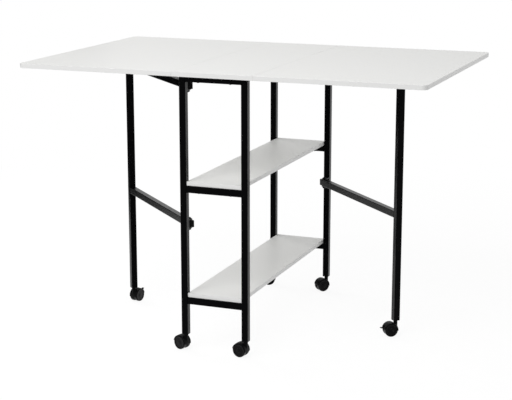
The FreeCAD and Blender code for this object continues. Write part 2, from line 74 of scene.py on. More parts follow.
def linear(hex_colour):
    """Undoes the sRGB curve: a straight foot for the darkest values and a power above it."""
    channels = []
    for start in (1, 3, 5):
        value = int(hex_colour[start:start + 2], 16) / 255
        is_dark = value <= 0.04045
        channels.append(value / 12.92 if is_dark else ((value + 0.055) / 1.055) ** 2.4)
    return (*channels, 1.0)


print("mid grey #808080 is", round(linear("#808080")[0], 3), "in linear light")

# %% [markdown]
# ## Building a finish from nodes
# Every finish is a small graph of nodes, and writing one by hand takes three lines a node. One
# helper adds a node with its settings and its links. A name sets a property or an input, and
# a number picks an input by its place, for nodes whose inputs share a name.

# %% One helper for every node
def add(tree, kind, settings=None, links=None):
    made = tree.nodes.new("ShaderNode" + kind)
    for key, value in (settings or {}).items():
        if isinstance(key, str) and hasattr(made, key):
            setattr(made, key, value)
        else:
            made.inputs[key].default_value = value
    for key, source in (links or {}).items():
        tree.links.new(source, made.inputs[key])
    return made


kinds = [kind for kind in dir(bpy.types) if kind.startswith("ShaderNode")]
print("kinds of node to choose from:", len(kinds))

# %% [markdown]
# A finish starts from its own shader, which holds a plain colour and a middling roughness for
# programs that can't follow nodes. A pattern of colour, roughness and relief is then laid over
# it. Two more of the shader's numbers matter for black parts: the specular level says how
# strongly the surface mirrors, and the specular tint dims what it mirrors where it is seen
# square on, but not at a glance. Here the tint is called square_on.

# %% Start a finish and lay a pattern over it
def empty_tree(owner):
    owner.use_nodes = True
    owner.node_tree.nodes.clear()
    return owner.node_tree


def new_finish(name, colour, roughness, metallic=0.0, ior=1.5, level=0.5, square_on="#FFFFFF"):
    material = bpy.data.materials.new(name)
    tree = empty_tree(material)
    skin = add(tree, "BsdfPrincipled", {
        "Base Color": linear(colour),
        "Roughness": sum(roughness) / 2,
        "Metallic": metallic,
        "IOR": ior,
        "Specular IOR Level": level,
        "Specular Tint": linear(square_on),
    })
    add(tree, "OutputMaterial", links={"Surface": skin.outputs["BSDF"]})
    return material, tree, skin


def lay_pattern(tree, skin, colour, roughness, bump):
    tree.links.new(colour, skin.inputs["Base Color"])
    tree.links.new(roughness, skin.inputs["Roughness"])
    tree.links.new(bump.outputs["Normal"], skin.inputs["Normal"])


def per_metre(size_mm):
    """How many times a pattern of this size fits into a metre: a texture's scale."""
    return 1 / (size_mm * MM)


print("a 2 mm grain has a texture scale of", per_metre(2.0))

# %% [markdown]
# ## Finish 1: melamine-faced board with ABS edge band
# The boards are particle board pressed between two sheets of white melamine paper. The press
# plate leaves a fine pearl texture, which breaks reflections into a soft sheen with no gloss.
# The edges are covered by an extruded ABS strip, a touch cooler in tone and a little shinier,
# with faint lines along its length from the extruder's die.
#
# Two materials, given face by face, would do, but one can hold both: the surface normal in the
# object's own space points up or down on a face and sideways on an edge. So the finish needs no
# list of faces, and it still fits when a board changes.

# %% Colours and sizes of the board's pattern
board_white = "#EFEFED"
edge_band_white = "#ECECEB"
melamine_ior = 1.57  # melamine resin is 1.6 and the ABS of the edge band 1.54
pearl_size = 2.2  # the real pearl is about 0.4 mm across, too fine to show, so it is drawn coarser
pearl_depth = 0.06
die_line_pitch = 0.8
die_line_length = 90.0
haze_size = 160.0
haze_tone = 0.985  # the darkest that the haze makes the white
face_roughness = (0.40, 0.50)
edge_roughness = 0.34
# how far up or down a normal points: at least the first on a face, at most the second on an edge
face_upright = 0.75
edge_upright = 0.65
bump_strength = 0.8
print("pearl of", pearl_size, "mm on the faces, lines of", die_line_pitch, "mm on the edges")


# %% Melamine-faced board
def melamine_faced_board():
    material, tree, skin = new_finish("melamine_faced_board", board_white, face_roughness,
                                      ior=melamine_ior)
    place = add(tree, "TexCoord").outputs
    pearl = add(tree, "TexNoise", {"Scale": per_metre(pearl_size), "Detail": 3.0},
                {"Vector": place["Object"]})
    haze = add(tree, "TexNoise", {"Scale": per_metre(haze_size), "Detail": 2.0},
               {"Vector": place["Object"]})
    lengthwise = per_metre(die_line_length)
    stretch = add(tree, "Mapping", {"Scale": (lengthwise, lengthwise, per_metre(die_line_pitch))},
                  {"Vector": place["Object"]})
    die_lines = add(tree, "TexNoise", {"Scale": 1.0, "Detail": 2.0},
                    {"Vector": stretch.outputs["Vector"]})
    normal = add(tree, "SeparateXYZ", links={"Vector": place["Normal"]})
    upright = add(tree, "Math", {"operation": "ABSOLUTE"}, {0: normal.outputs["Z"]})
    on_edge = add(tree, "MapRange", {"From Min": face_upright, "From Max": edge_upright},
                  {"Value": upright.outputs[0]})
    face_tone = add(tree, "MapRange", {"To Min": haze_tone, "To Max": 1.0},
                    {"Value": haze.outputs["Fac"]})
    face_colour = add(tree, "Mix", {
        "data_type": "RGBA",
        "blend_type": "MULTIPLY",
        0: 1.0,
        6: linear(board_white),
    }, {7: face_tone.outputs["Result"]})
    colour = add(tree, "Mix", {"data_type": "RGBA", 7: linear(edge_band_white)},
                 {0: on_edge.outputs["Result"], 6: face_colour.outputs[2]})
    smoothest, roughest = face_roughness
    face_sheen = add(tree, "MapRange", {"To Min": smoothest, "To Max": roughest},
                     {"Value": haze.outputs["Fac"]})
    sheen = add(tree, "Mix", {"data_type": "FLOAT", 3: edge_roughness},
                {0: on_edge.outputs["Result"], 2: face_sheen.outputs["Result"]})
    relief = add(tree, "Mix", {"data_type": "FLOAT"}, {
        0: on_edge.outputs["Result"],
        2: pearl.outputs["Fac"],
        3: die_lines.outputs["Fac"],
    })
    bump = add(tree, "Bump", {"Strength": bump_strength, "Distance": pearl_depth * MM},
               {"Height": relief.outputs[0]})
    lay_pattern(tree, skin, colour.outputs[2], sheen.outputs[0], bump)
    return material


board = melamine_faced_board()
print("board finish:", len(board.node_tree.nodes), "nodes")

# %% [markdown]
# ## Finish 2: powder-coated steel
# The frame is sprayed with black polyester powder and baked. The powder melts into a skin with
# a soft ripple, like orange peel, so a long tube shows a broken, satin highlight instead of a
# clean mirror line. Faces seen square on stay almost black, which a dark specular tint gives.
# Faces seen at a slant pick up the bright room, and that makes the tubes read as square.
#
# The ripple could be real relief, but it is far too shallow to change an outline, so a bump of
# about 1.5 mm cells is enough. A finer noise scatters specks of dust, and a larger one varies
# the gloss a little, as handling does.

# %% Colours and sizes of the coat's pattern
coat_black = "#050506"
coat_dust = "#0C0C0E"
coat_square_on = "#303030"
coat_level = 0.3
polyester_ior = 1.53
peel_size = 1.5
peel_depth = 0.08
speck_size = 0.5
speck_range = (0.52, 0.75)  # the noise values between which a speck comes in
speck_strength = 0.5
gloss_patch = 35.0
coat_roughness = (0.26, 0.38)
print("orange peel of", peel_size, "mm,", peel_depth, "mm deep")


# %% Powder-coated steel
def powder_coated_steel():
    material, tree, skin = new_finish("powder_coated_steel", coat_black, coat_roughness,
                                      ior=polyester_ior, level=coat_level, square_on=coat_square_on)
    place = add(tree, "TexCoord").outputs
    peel = add(tree, "TexNoise", {"Scale": per_metre(peel_size), "Detail": 2.0, "Roughness": 0.4},
               {"Vector": place["Object"]})
    speck = add(tree, "TexNoise", {"Scale": per_metre(speck_size), "Detail": 1.0},
                {"Vector": place["Object"]})
    patch = add(tree, "TexNoise", {"Scale": per_metre(gloss_patch), "Detail": 3.0},
                {"Vector": place["Object"]})
    dust = add(tree, "MapRange", {
        "From Min": speck_range[0],
        "From Max": speck_range[1],
        "To Max": speck_strength,
    }, {"Value": speck.outputs["Fac"]})
    colour = add(tree, "Mix", {"data_type": "RGBA", 6: linear(coat_black), 7: linear(coat_dust)},
                 {0: dust.outputs["Result"]})
    smoothest, roughest = coat_roughness
    sheen = add(tree, "MapRange", {"To Min": smoothest, "To Max": roughest},
                {"Value": patch.outputs["Fac"]})
    bump = add(tree, "Bump", {"Strength": bump_strength, "Distance": peel_depth * MM},
               {"Height": peel.outputs["Fac"]})
    lay_pattern(tree, skin, colour.outputs[2], sheen.outputs["Result"], bump)
    return material


coat = powder_coated_steel()
print("coat finish:", len(coat.node_tree.nodes), "nodes")

# %% [markdown]
# ## Finish 3: moulded black plastics
# The caster hoods, brake levers, tube sockets and end caps are injection moulded. They come from
# a spark-eroded mould, which leaves an even matt grain. The wheels are moulded in a smoother,
# harder nylon, and rolling polishes them further. Two separate materials would repeat the same
# nodes, so one function makes both, and the numbers at its call say how they differ.

# %% Moulded plastics
polypropylene_ior = 1.49
nylon_ior = 1.53
cloud_size = 12.0
fleck_range = (0.45, 0.8)  # the noise values between which the paler flecks come in


def moulded_plastic(name, colour, fleck_colour, ior, grain_size, grain_depth, roughness,
                    square_on="#FFFFFF"):
    material, tree, skin = new_finish(name, colour, roughness, ior=ior, square_on=square_on)
    place = add(tree, "TexCoord").outputs
    grain = add(tree, "TexVoronoi", {"Scale": per_metre(grain_size), "feature": "SMOOTH_F1"},
                {"Vector": place["Object"]})
    cloud = add(tree, "TexNoise", {"Scale": per_metre(cloud_size), "Detail": 3.0},
                {"Vector": place["Object"]})
    fleck = add(tree, "MapRange", {"From Min": fleck_range[0], "From Max": fleck_range[1]},
                {"Value": cloud.outputs["Fac"]})
    tone = add(tree, "Mix", {"data_type": "RGBA", 6: linear(colour), 7: linear(fleck_colour)},
               {0: fleck.outputs["Result"]})
    smoothest, roughest = roughness
    sheen = add(tree, "MapRange", {"To Min": smoothest, "To Max": roughest},
                {"Value": cloud.outputs["Fac"]})
    bump = add(tree, "Bump", {"Strength": bump_strength, "Distance": grain_depth * MM},
               {"Height": grain.outputs["Distance"]})
    lay_pattern(tree, skin, tone.outputs[2], sheen.outputs["Result"], bump)
    return material


grained = moulded_plastic(
    "moulded_black_polypropylene",
    colour="#080809",
    fleck_colour="#0F0F10",
    ior=polypropylene_ior,
    grain_size=0.9,  # about 0.2 mm on the real mould, too fine to show, so it is drawn coarser
    grain_depth=0.08,
    roughness=(0.45, 0.6),
    square_on="#4A4A4A",
)
tread = moulded_plastic(
    "moulded_black_nylon",
    colour="#09090A",
    fleck_colour="#131314",
    ior=nylon_ior,
    grain_size=2.5,  # broad and shallow, as polishing leaves it
    grain_depth=0.01,
    roughness=(0.28, 0.45),
    square_on="#505050",
)
print("plastics:", grained.name, "and", tread.name)

# %% [markdown]
# ## Finish 4: zinc-plated and blackened steel, and natural nylon
# Hinges, their pins and screws, and the wheel axles are bright zinc plate: a pale grey metal,
# tumbled in the plating barrel, so its gloss is cloudy. Bolts, board screws and caster stems are
# blackened. The washers that the gates turn on are uncoloured nylon, a warm off-white, which
# the plastics' function makes too.
#
# A metal mirrors the room in its own colour, so a plain grey would look like paint here. One
# cloudy noise, as large as the marks that tumbling leaves, varies tone, gloss and relief alike.

# %% Plated steel and nylon
tumble_size = 3.0
tumble_depth = 0.01
tumble_strength = 0.3
tumble_shade = (0.86, 1.08)


def plated_steel(name, colour, roughness):
    material, tree, skin = new_finish(name, colour, roughness, metallic=1.0)
    place = add(tree, "TexCoord").outputs
    tumble = add(tree, "TexNoise", {
        "Scale": per_metre(tumble_size),
        "Detail": 6.0,
        "Roughness": 0.65,
    }, {"Vector": place["Object"]})
    smoothest, roughest = roughness
    sheen = add(tree, "MapRange", {"To Min": smoothest, "To Max": roughest},
                {"Value": tumble.outputs["Fac"]})
    shade = add(tree, "MapRange", {"To Min": tumble_shade[0], "To Max": tumble_shade[1]},
                {"Value": tumble.outputs["Fac"]})
    tone = add(tree, "Mix", {
        "data_type": "RGBA",
        "blend_type": "MULTIPLY",
        0: 1.0,
        6: linear(colour),
    }, {7: shade.outputs["Result"]})
    bump = add(tree, "Bump", {"Strength": tumble_strength, "Distance": tumble_depth * MM},
               {"Height": tumble.outputs["Fac"]})
    lay_pattern(tree, skin, tone.outputs[2], sheen.outputs["Result"], bump)
    return material


zinc = plated_steel("zinc_plated_steel", "#B9BCC0", roughness=(0.25, 0.45))
blackened = plated_steel("blackened_steel", "#232326", roughness=(0.35, 0.5))
natural_nylon = moulded_plastic(
    "natural_nylon",
    colour="#DDD8C8",
    fleck_colour="#E8E4D8",
    ior=nylon_ior,
    grain_size=1.2,
    grain_depth=0.01,
    roughness=(0.35, 0.45),
)
print("metals:", zinc.name, "and", blackened.name)

# %% [markdown]
# ## Dressing the construction
# Where a construction part already has the right shape, it only needs its finish. The parts
# could be dressed by hand, one by one, but the record that comes with the construction names a
# finish for each, so a lookup from that name to a material dresses all of them in one loop.

# %% Give every construction part its finish
finish_of_slot = {
    "white_board": board,
    "black_coated_steel": coat,
    "black_plastic": grained,
    "wheel_nylon": tread,
    "zinc_steel": zinc,
    "black_hardware": blackened,
    "nylon": natural_nylon,
}
slot_of_node = {part["node"]: part["material_slot"] for part in frame["record"]["subparts"]}
for name, part in nodes.items():
    part.data.materials.clear()
    part.data.materials.append(finish_of_slot[slot_of_node[name]])
print("dressed", len(nodes), "parts in", len(finish_of_slot), "finishes")

# %% [markdown]
# ## Skinning rows of points
# Small turned and formed parts come next: screws, bolts, nuts, wheels, weld seams. Blender's
# cylinders and modifiers could be stacked up into them, but every one is also a pile of rings
# with a skin drawn over it, so one function that skins rows of points serves them all, and an
# outline stays a list that can be read. Sizes are written in millimetres, as on a drawing. A
# ring shrunk to a single point closes an end, and a closed stack is skinned from its last ring
# back to its first.

# %% Skin and lathe
def skin_rows(work, rows, place, closed=False):
    made = [[work.verts.new(place @ (Vector(point) * MM)) for point in row] for row in rows]
    following = made[1:] + made[:1] if closed else made[1:]
    for near, far in zip(made, following):
        for i in range(max(len(near), len(far))):
            corners = [near[i % len(near)], near[(i + 1) % len(near)],
                       far[(i + 1) % len(far)], far[i % len(far)]]
            work.faces.new(list(dict.fromkeys(corners)))
    return made


def turns(steps):
    return [2 * math.pi * i / steps for i in range(steps)]


def ring(radius, height, steps):
    return [(radius * math.cos(t), radius * math.sin(t), height) for t in turns(steps)]


def lathe(work, profile, steps, place):
    rows = []
    for radius, height in profile:
        rows.append(ring(radius, height, steps) if radius > 0 else [(0, 0, height)])
    return skin_rows(work, rows, place)


trial = bmesh.new()
lathe(trial, [(0, 0), (5, 0), (0, 8)], 6, Matrix())
print("a six-sided cone comes off the lathe with", len(trial.faces), "faces")
trial.free()


# %% Turn a finished mesh into a piece
usual_crease = 32  # degrees


def finished_piece(work, name, slot, body, stands_for=None, crease=usual_crease):
    bmesh.ops.recalc_face_normals(work, faces=work.faces)
    mesh = bpy.data.meshes.new(name)
    work.to_mesh(mesh)
    work.free()
    mesh.shade_smooth()
    mesh.set_sharp_from_angle(angle=math.radians(crease))
    mesh.materials.append(finish_of_slot[slot])
    piece = bpy.data.objects.new(name, mesh)
    scene.collection.objects.link(piece)
    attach(piece, body)
    if stands_for:
        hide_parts(stands_for)
    print(name, "has", len(mesh.polygons), "faces")


print("an edge that turns by more than", usual_crease, "degrees stays crisp")

# %% [markdown]
# ## Finding where each small part sits
# A construction part such as "board_screws" is many loose solids in one mesh. The places could
# be typed in again, but then they would go wrong as soon as the construction changed. Walking
# from point to point along the edges finds each solid, and its box says where the detailed copy
# goes.

# %% Boxes of the loose solids in a part
same_point = 0.001  # points closer than this are one point


def loose_boxes(name):
    work = bmesh.new()
    work.from_mesh(nodes[name].data)
    bmesh.ops.remove_doubles(work, verts=work.verts, dist=same_point * MM)
    seen = set()
    boxes = []
    for first in work.verts:
        if first in seen:
            continue
        seen.add(first)
        to_visit = [first]
        found = []
        while to_visit:
            vert = to_visit.pop()
            found.append(vert.co.copy())
            for edge in vert.link_edges:
                other = edge.other_vert(vert)
                if other not in seen:
                    seen.add(other)
                    to_visit.append(other)
        low = Vector([min(point[i] for point in found) for i in range(3)])
        high = Vector([max(point[i] for point in found) for i in range(3)])
        boxes.append((low, high))
    work.free()
    return boxes


print("board screws found:", len(loose_boxes("board_screws")))

# %% [markdown]
# ## Screws with a cross recess
# The boards hang on pan-head screws driven up through the rails, and the hinges on smaller ones.
# What the eye reads as a screw is the cross in its head. A boolean cut would make it, but it
# leaves long thin faces. Here the crown is turned on the lathe down to a flat, and the flat is
# filled around a plus-shaped hole whose walls taper inwards, as the driver's tip does.
#
# Where an outline is round, a quarter round is set into its corner, so that the corner's sizes
# can be read off and only the number of steps says how smooth it is.

# %% A flat with a recess in it
def cross_outline(reach, half_width):
    quarter = [(reach, -half_width), (reach, half_width), (half_width, half_width)]
    outline = []
    for turn in range(4):
        for x, y in quarter:
            for _ in range(turn):
                x, y = -y, x
            outline.append((x, y))
    return outline


def recess(work, rim, height, outline, depth, taper, place):
    mouth = [work.verts.new(place @ (Vector((x, y, height)) * MM)) for x, y in outline]
    edges = [work.edges.new((mouth[i - 1], mouth[i])) for i in range(len(mouth))]
    edges += [work.edges.get((rim[i - 1], rim[i])) for i in range(len(rim))]
    bmesh.ops.triangle_fill(work, edges=edges, use_beauty=True)
    floor_row = []
    for x, y in outline:
        point = Vector((x * taper, y * taper, height - depth))
        floor_row.append(work.verts.new(place @ (point * MM)))
    for i in range(len(mouth)):
        work.faces.new((mouth[i - 1], mouth[i], floor_row[i], floor_row[i - 1]))
    work.faces.new(floor_row)


print("a cross has", len(cross_outline(2.0, 0.4)), "corners")


# %% Round stretches of an outline
def quarter_round(start, corner, end, steps):
    """Points from start to end, that round off the corner between them."""
    start, corner, end = Vector(start), Vector(corner), Vector(end)
    centre = start + end - corner
    angles = [math.pi / 2 * i / steps for i in range(steps + 1)]
    return [centre + (start - centre) * math.cos(t) + (end - centre) * math.sin(t) for t in angles]


print("halfway round a 10 mm corner:", tuple(quarter_round((10, 0), (10, 10), (0, 10), 2)[1]))

# %% Board and hinge screws
screw_steps = 28
screw_tip = 2.0  # length of the point
recess_share = 0.6  # the recess is this much of the head's height deep
recess_taper = 0.62  # and its floor is this much of its mouth across
head_down = Matrix.Rotation(math.pi, 4, "X")
# a head's outline gives radius and height over the seat, from the rim of the flat downwards
board_screw = {
    "head": quarter_round((2.75, 2.6), (4.48, 2.6), (4.48, 0.7), 4) + [(4.48, 0.0)],
    "shank_radius": 2.15,
    "cross_reach": 2.0,
    "cross_half_width": 0.42,
}
hinge_screw = {
    "head": quarter_round((2.1, 2.0), (2.7, 2.0), (2.9, 1.7), 2) + [(3.75, 0.4), (3.95, 0.0)],
    "shank_radius": 1.9,
    "cross_reach": 1.6,
    "cross_half_width": 0.36,
}


def screws(name, slot, body, head, shank_radius, cross_reach, cross_half_width):
    work = bmesh.new()
    head_height = head[0][1]
    outline = cross_outline(cross_reach, cross_half_width)
    for low, high in loose_boxes(name):
        seat = Vector(((low.x + high.x) / 2, (low.y + high.y) / 2, low.z + head_height * MM))
        place = Matrix.Translation(seat) @ head_down
        length = (high.z - seat.z) / MM
        shank = [(shank_radius, 0.0), (shank_radius, screw_tip - length), (0, -length)]
        rings = lathe(work, head + shank, screw_steps, place)
        depth = head_height * recess_share
        recess(work, rings[0], head_height, outline, depth, recess_taper, place)
    finished_piece(work, name + "_cross_recessed", slot, body, name)


screws("board_screws", "black_hardware", "frame", **board_screw)
for holder, body in (("centre", "frame"), ("right_leaf", "right_leaf"), ("left_leaf", "left_leaf")):
    screws(holder + "_hinge_screws", "zinc_steel", body, **hinge_screw)

# %% [markdown]
# ## Gate pivot bolts
# Each gate turns on two button-head bolts with a hexagon socket, held by a nut below the
# bracket. A thread could be one long spiral, but at this size a stack of ridges looks the same
# and is simpler to close. A nut's six corners are cut back by a cone on both faces, which leaves
# the curved edges that make a nut look like one. So its outer rings follow the hexagon, and each
# point is lowered by how far it stands outside the cone.

# %% Bolts
button_head = quarter_round((3.4, 5.0), (7.0, 5.0), (7.0, 0.9), 6) + [(6.85, 0.0)]
bolt_steps = 40
bolt_radius = 4.0
bolt_chamfer = 0.8
thread_depth = 0.45
thread_pitch = 1.25
thread_length = 11.0
thread_run_out = 1.0
# how far down each pitch the thread's root and its crest lie
root_share = 0.3
crest_share = 0.75
socket_flats = 4.5
socket_depth = 2.6


def thread_rings(length):
    start = thread_length - length
    rings = [(bolt_radius, 0.0), (bolt_radius, start)]
    for i in range(int((thread_length - thread_run_out) / thread_pitch)):
        top = start - i * thread_pitch
        rings.append((bolt_radius - thread_depth, top - root_share * thread_pitch))
        rings.append((bolt_radius, top - crest_share * thread_pitch))
    return rings + [(bolt_radius - bolt_chamfer, -length), (0, -length)]


def socket_head_bolt(work, x, y, low, high):
    head_height = button_head[0][1]
    shank_length = (high - low) / MM - head_height
    place = Matrix.Translation((x, y, high - head_height * MM))
    rings = lathe(work, button_head + thread_rings(shank_length), bolt_steps, place)
    corner = socket_flats / math.sqrt(3)
    angles = [math.radians(30 + 60 * i) for i in range(6)]
    outline = [(corner * math.cos(t), corner * math.sin(t)) for t in angles]
    recess(work, rings[0], head_height, outline, socket_depth, taper=1.0, place=place)


print("a 40 mm shank has", len(thread_rings(40.0)), "rings")

# %% Nuts
nut_steps = 48
nut_flats = 13.0
nut_face_share = 0.97  # the flat ring of a face is this much of the width across flats
nut_chamfer = math.radians(30)


def hexagon_reach(flats, turn):
    from_flat = (turn + math.pi / 6) % (math.pi / 3) - math.pi / 6
    return flats / 2 / math.cos(from_flat)


def hex_nut(work, height, place):
    cone_radius = nut_flats / 2 * nut_face_share
    upper_edge = []
    lower_edge = []
    for t in turns(nut_steps):
        reach = hexagon_reach(nut_flats, t)
        drop = (reach - cone_radius) * math.tan(nut_chamfer)
        upper_edge.append((reach * math.cos(t), reach * math.sin(t), height - drop))
        lower_edge.append((reach * math.cos(t), reach * math.sin(t), drop))
    skin_rows(work, [
        ring(bolt_radius, height, nut_steps),
        ring(cone_radius, height, nut_steps),
        upper_edge,
        lower_edge,
        ring(cone_radius, 0, nut_steps),
        ring(bolt_radius, 0, nut_steps),
    ], place, closed=True)


def pivot_hardware():
    work = bmesh.new()
    for low, high in loose_boxes("pivot_bolts"):
        middle = (low + high) / 2
        height = (high.z - low.z) / MM
        if height < nut_flats:  # a nut is lower than it is wide, and a bolt is long
            hex_nut(work, height, Matrix.Translation((middle.x, middle.y, low.z)))
        else:
            socket_head_bolt(work, middle.x, middle.y, low.z, high.z)
    finished_piece(work, "pivot_bolts_socket_head", "black_hardware", "frame", "pivot_bolts")


pivot_hardware()

# %% [markdown]
# ## Twin wheels
# A caster has two hard nylon wheels on one axle. Bevelled cylinders would pass from far off, but
# the rim and the cap catch the light, so each wheel is turned from one half section: a blind
# bore, a flat inner face, a tread with a rounded outer shoulder, a rolled rim, a dished face and
# a raised hub cap. The joint that rolls the wheels gives the axle's place and direction, so the
# lathe's axis is turned onto it.

# %% Section of a wheel
wheel_steps = 72
wheel_radius = 25.0
bore_radius = 3.05
bore_end = 14.6  # this and the next five are distances from the middle of the caster
inner_face = 6.1
outer_face = 17.6
dish_at_rim = 16.05
dish_at_hub = 17.0
groove_floor = 16.7
wheel_section = [
    (0, bore_end),
    (bore_radius, bore_end),
    (bore_radius, inner_face),
    # inner edge, outer shoulder, rolled rim and the cove that leads from it into the dish
    *quarter_round((24.3, inner_face), (wheel_radius, inner_face), (wheel_radius, 7.0), 2),
    *quarter_round((wheel_radius, 14.4), (wheel_radius, outer_face), (22.2, outer_face), 4),
    *quarter_round((21.2, outer_face), (20.6, outer_face), (20.3, 16.9), 2),
    *quarter_round((19.9, 16.45), (19.5, dish_at_rim), (18.9, dish_at_rim), 2),
    # end of the dish, groove round the hub and edge of the cap
    (9.0, dish_at_hub),
    (8.4, dish_at_hub),
    (8.1, groove_floor),
    (7.7, groove_floor),
    *quarter_round((7.4, dish_at_hub), (7.4, outer_face), (5.6, outer_face), 3),
    (0, outer_face),
]
print("a wheel's section has", len(wheel_section), "points")


# %% Wheels
def along(foot, direction):
    """Stands the lathe's axis on a foot and turns it along a direction."""
    return Matrix.Translation(foot) @ direction.to_track_quat("Z", "Y").to_matrix().to_4x4()


def wheel_pair(caster):
    joint = joints[caster + "_wheel_roll"]
    place = along(joint["pos_m"], Vector(joint["axis"]))
    work = bmesh.new()
    for side in (1, -1):
        section = [(radius, side * across) for radius, across in wheel_section]
        lathe(work, section, wheel_steps, place)
    name = caster + "_twin_wheels"
    finished_piece(work, name, "wheel_nylon", caster + "_wheels", caster + "_caster_wheels")


casters = ["front_left", "front_right", "rear_left", "rear_right", "left_gate", "right_gate"]
for caster in casters:
    wheel_pair(caster)

# %% [markdown]
# ## Weld seams
# The rails are welded to the posts and gate legs, and the pivot brackets to the posts. A weld
# laid by hand is a row of overlapping puddles. A bump on the tube would leave its outline
# straight, so a bead is real geometry, turned from a profile that swells and falls once a
# puddle. Only the seams under and over the rails stand proud, because the faces that lie flush
# are ground flat before coating.

# %% Weld beads
bead_radius = 2.3
bead_sides = 12
bead_nose_share = 0.5  # a bead's ends stand out by this much of its radius
bead_crease = 60  # degrees
puddle_length = 2.2
puddle_swell = 0.14
rings_per_puddle = 4
rings_outside = 1.5  # a bead's radius grows as a square root, from this many rings outside its end


def weld_bead(work, start, end):
    run = (Vector(end) - Vector(start)) / MM
    count = max(2, round(run.length / puddle_length)) * rings_per_puddle
    profile = [(0, -bead_nose_share * bead_radius)]
    for i in range(count + 1):
        share = (i % rings_per_puddle) / rings_per_puddle
        from_end = (min(i, count - i) + rings_outside) / rings_per_puddle
        radius = bead_radius * min(1.0, from_end) ** 0.5 * (1 - puddle_swell * share)
        profile.append((radius, run.length * i / count))
    profile.append((0, run.length + bead_nose_share * bead_radius))
    lathe(work, profile, bead_sides, along(start, run))


print("a 24 mm seam has", round(24 / puddle_length), "puddles")

# %% Seams of the frame
seam_inset = 3.0  # a seam stops short of the tube's rounded corners


def frame_seams():
    work = bmesh.new()
    inset = seam_inset * MM
    for end in ("front", "rear"):
        for level in ("top", "middle", "lower"):
            low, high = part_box(end + "_" + level + "_rail")
            for x in (low.x, high.x):
                weld_bead(work, (x, low.y + inset, low.z), (x, high.y - inset, low.z))
    for low, high in loose_boxes("pivot_brackets"):
        on_post = high.y if high.y > 0 else low.y
        for z in (low.z, high.z):
            weld_bead(work, (low.x + inset, on_post, z), (high.x - inset, on_post, z))
    name = "frame_weld_seams"
    finished_piece(work, name, "black_coated_steel", "frame", crease=bead_crease)


frame_seams()


# %% Seams of the gates
def gate_seams(side):
    work = bmesh.new()
    low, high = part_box(side + "_gate_leg")
    centre = (low + high) / 2
    pivot = Vector(joints[side + "_gate_swing"]["pos_m"])
    towards = Vector((pivot.x - centre.x, pivot.y - centre.y, 0)).normalized()
    across = Vector((-towards.y, towards.x, 0))
    # the leg stands at an angle, so its tube is measured on a post, which is the same tube
    post_low, post_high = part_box("front_left_post")
    half_side = (post_high.x - post_low.x) / 2
    reach = half_side - seam_inset * MM
    for rail in ("top", "middle"):
        rail_low, rail_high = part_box(side + "_gate_" + rail + "_rail")
        for z in (rail_low.z, rail_high.z):
            corner = Vector((centre.x, centre.y, z)) + towards * half_side
            weld_bead(work, corner - across * reach, corner + across * reach)
    name = side + "_gate_weld_seams"
    finished_piece(work, name, "black_coated_steel", side + "_gate", crease=bead_crease)


for side in ("left", "right"):
    gate_seams(side)

# %% [markdown]
# ## Grip ribs on the brake levers
# A foot presses the brake lever, so its tongue carries a few raised ribs across it. One rib and
# an array modifier would make a row, but the row has to lie on a lever that is already tilted.
# So the ribs are set one by one along the line that runs from the tip of the tongue up its top.

# %% Lever ribs
rib_count = 4
rib_pitch = 2.6
rib_half_width = 3.8
rib_radius = 0.7
rib_sides = 10
rib_nose = 0.3  # how far a rib's ends stand out
first_rib = 1.6  # from the tip of the tongue


def lever_ribs(side):
    axle = Vector(joints[side + "_gate_wheel_roll"]["pos_m"])
    rearward = axle - Vector(joints[side + "_gate_caster_swivel"]["pos_m"])
    rearward.z = 0
    rearward.normalize()
    across = Vector((-rearward.y, rearward.x, 0))
    # the largest face that looks upwards is the top of the tongue
    mesh = nodes[side + "_brake_lever"].data
    top = max(mesh.polygons, key=lambda face: face.area if face.normal.z > 0.5 else 0)
    corners = [mesh.vertices[i].co for i in top.vertices]
    centre_line = axle.dot(across)
    corners = [corner - across * (corner.dot(across) - centre_line) for corner in corners]
    tip = max(corners, key=lambda corner: corner.dot(rearward))
    heel = min(corners, key=lambda corner: corner.dot(rearward))
    uphill = (heel - tip).normalized()
    width = 2 * rib_half_width
    profile = [(0, -rib_nose), (rib_radius, 0.0), (rib_radius, width), (0, width + rib_nose)]
    work = bmesh.new()
    for i in range(rib_count):
        middle = tip + uphill * (first_rib + i * rib_pitch) * MM
        start = middle - across * rib_half_width * MM
        lathe(work, profile, rib_sides, along(start, across))
    finished_piece(work, side + "_lever_ribs", "black_plastic", side + "_brake_lever")


for side in ("left", "right"):
    lever_ribs(side)

# %% [markdown]
# ## Softening moulded edges
# A moulded or pressed edge is never a knife edge: it has a small radius that catches a line of
# light. The radius could be built into the construction, but it would make every part heavy. A
# bevel modifier adds it without touching the construction's own mesh. The mesh comes in with its
# faces split apart at hard edges, so a weld modifier joins them first.

# %% Bevel the plastic and pressed parts
hood_edge = 0.45
small_edge = 0.3
split_gap = 0.002  # split faces lie closer than this
sharp_from = math.radians(40)


def soften(name, radius):
    part = nodes[name]
    join = part.modifiers.new("join_faces", "WELD")
    join.merge_threshold = split_gap * MM
    bevel = part.modifiers.new("moulded_radius", "BEVEL")
    bevel.width = radius * MM
    bevel.segments = 2
    bevel.limit_method = "ANGLE"
    bevel.angle_limit = sharp_from
    bevel.harden_normals = True


for caster in casters:
    soften(caster + "_caster_hood", hood_edge)
for side in ("left", "right"):
    soften(side + "_brake_lever", small_edge)
    soften(side + "_gate_caster_socket", small_edge)
soften("post_caster_sockets", small_edge)
soften("pivot_brackets", small_edge)
print("softened", sum(1 for part in nodes.values() if part.modifiers), "parts")

# %% [markdown]
# ## The camera
# The camera stands in front of the table and to its right, a little above the top. A long lens
# keeps the edges of the top nearly parallel, which suits a wide, flat object. A constraint could
# aim it at a target, but here its direction matters more than what it points at, so it is given
# by where it stands and by two angles, from which its own right, up and back directions follow.
# It is held level, so it has no third angle.

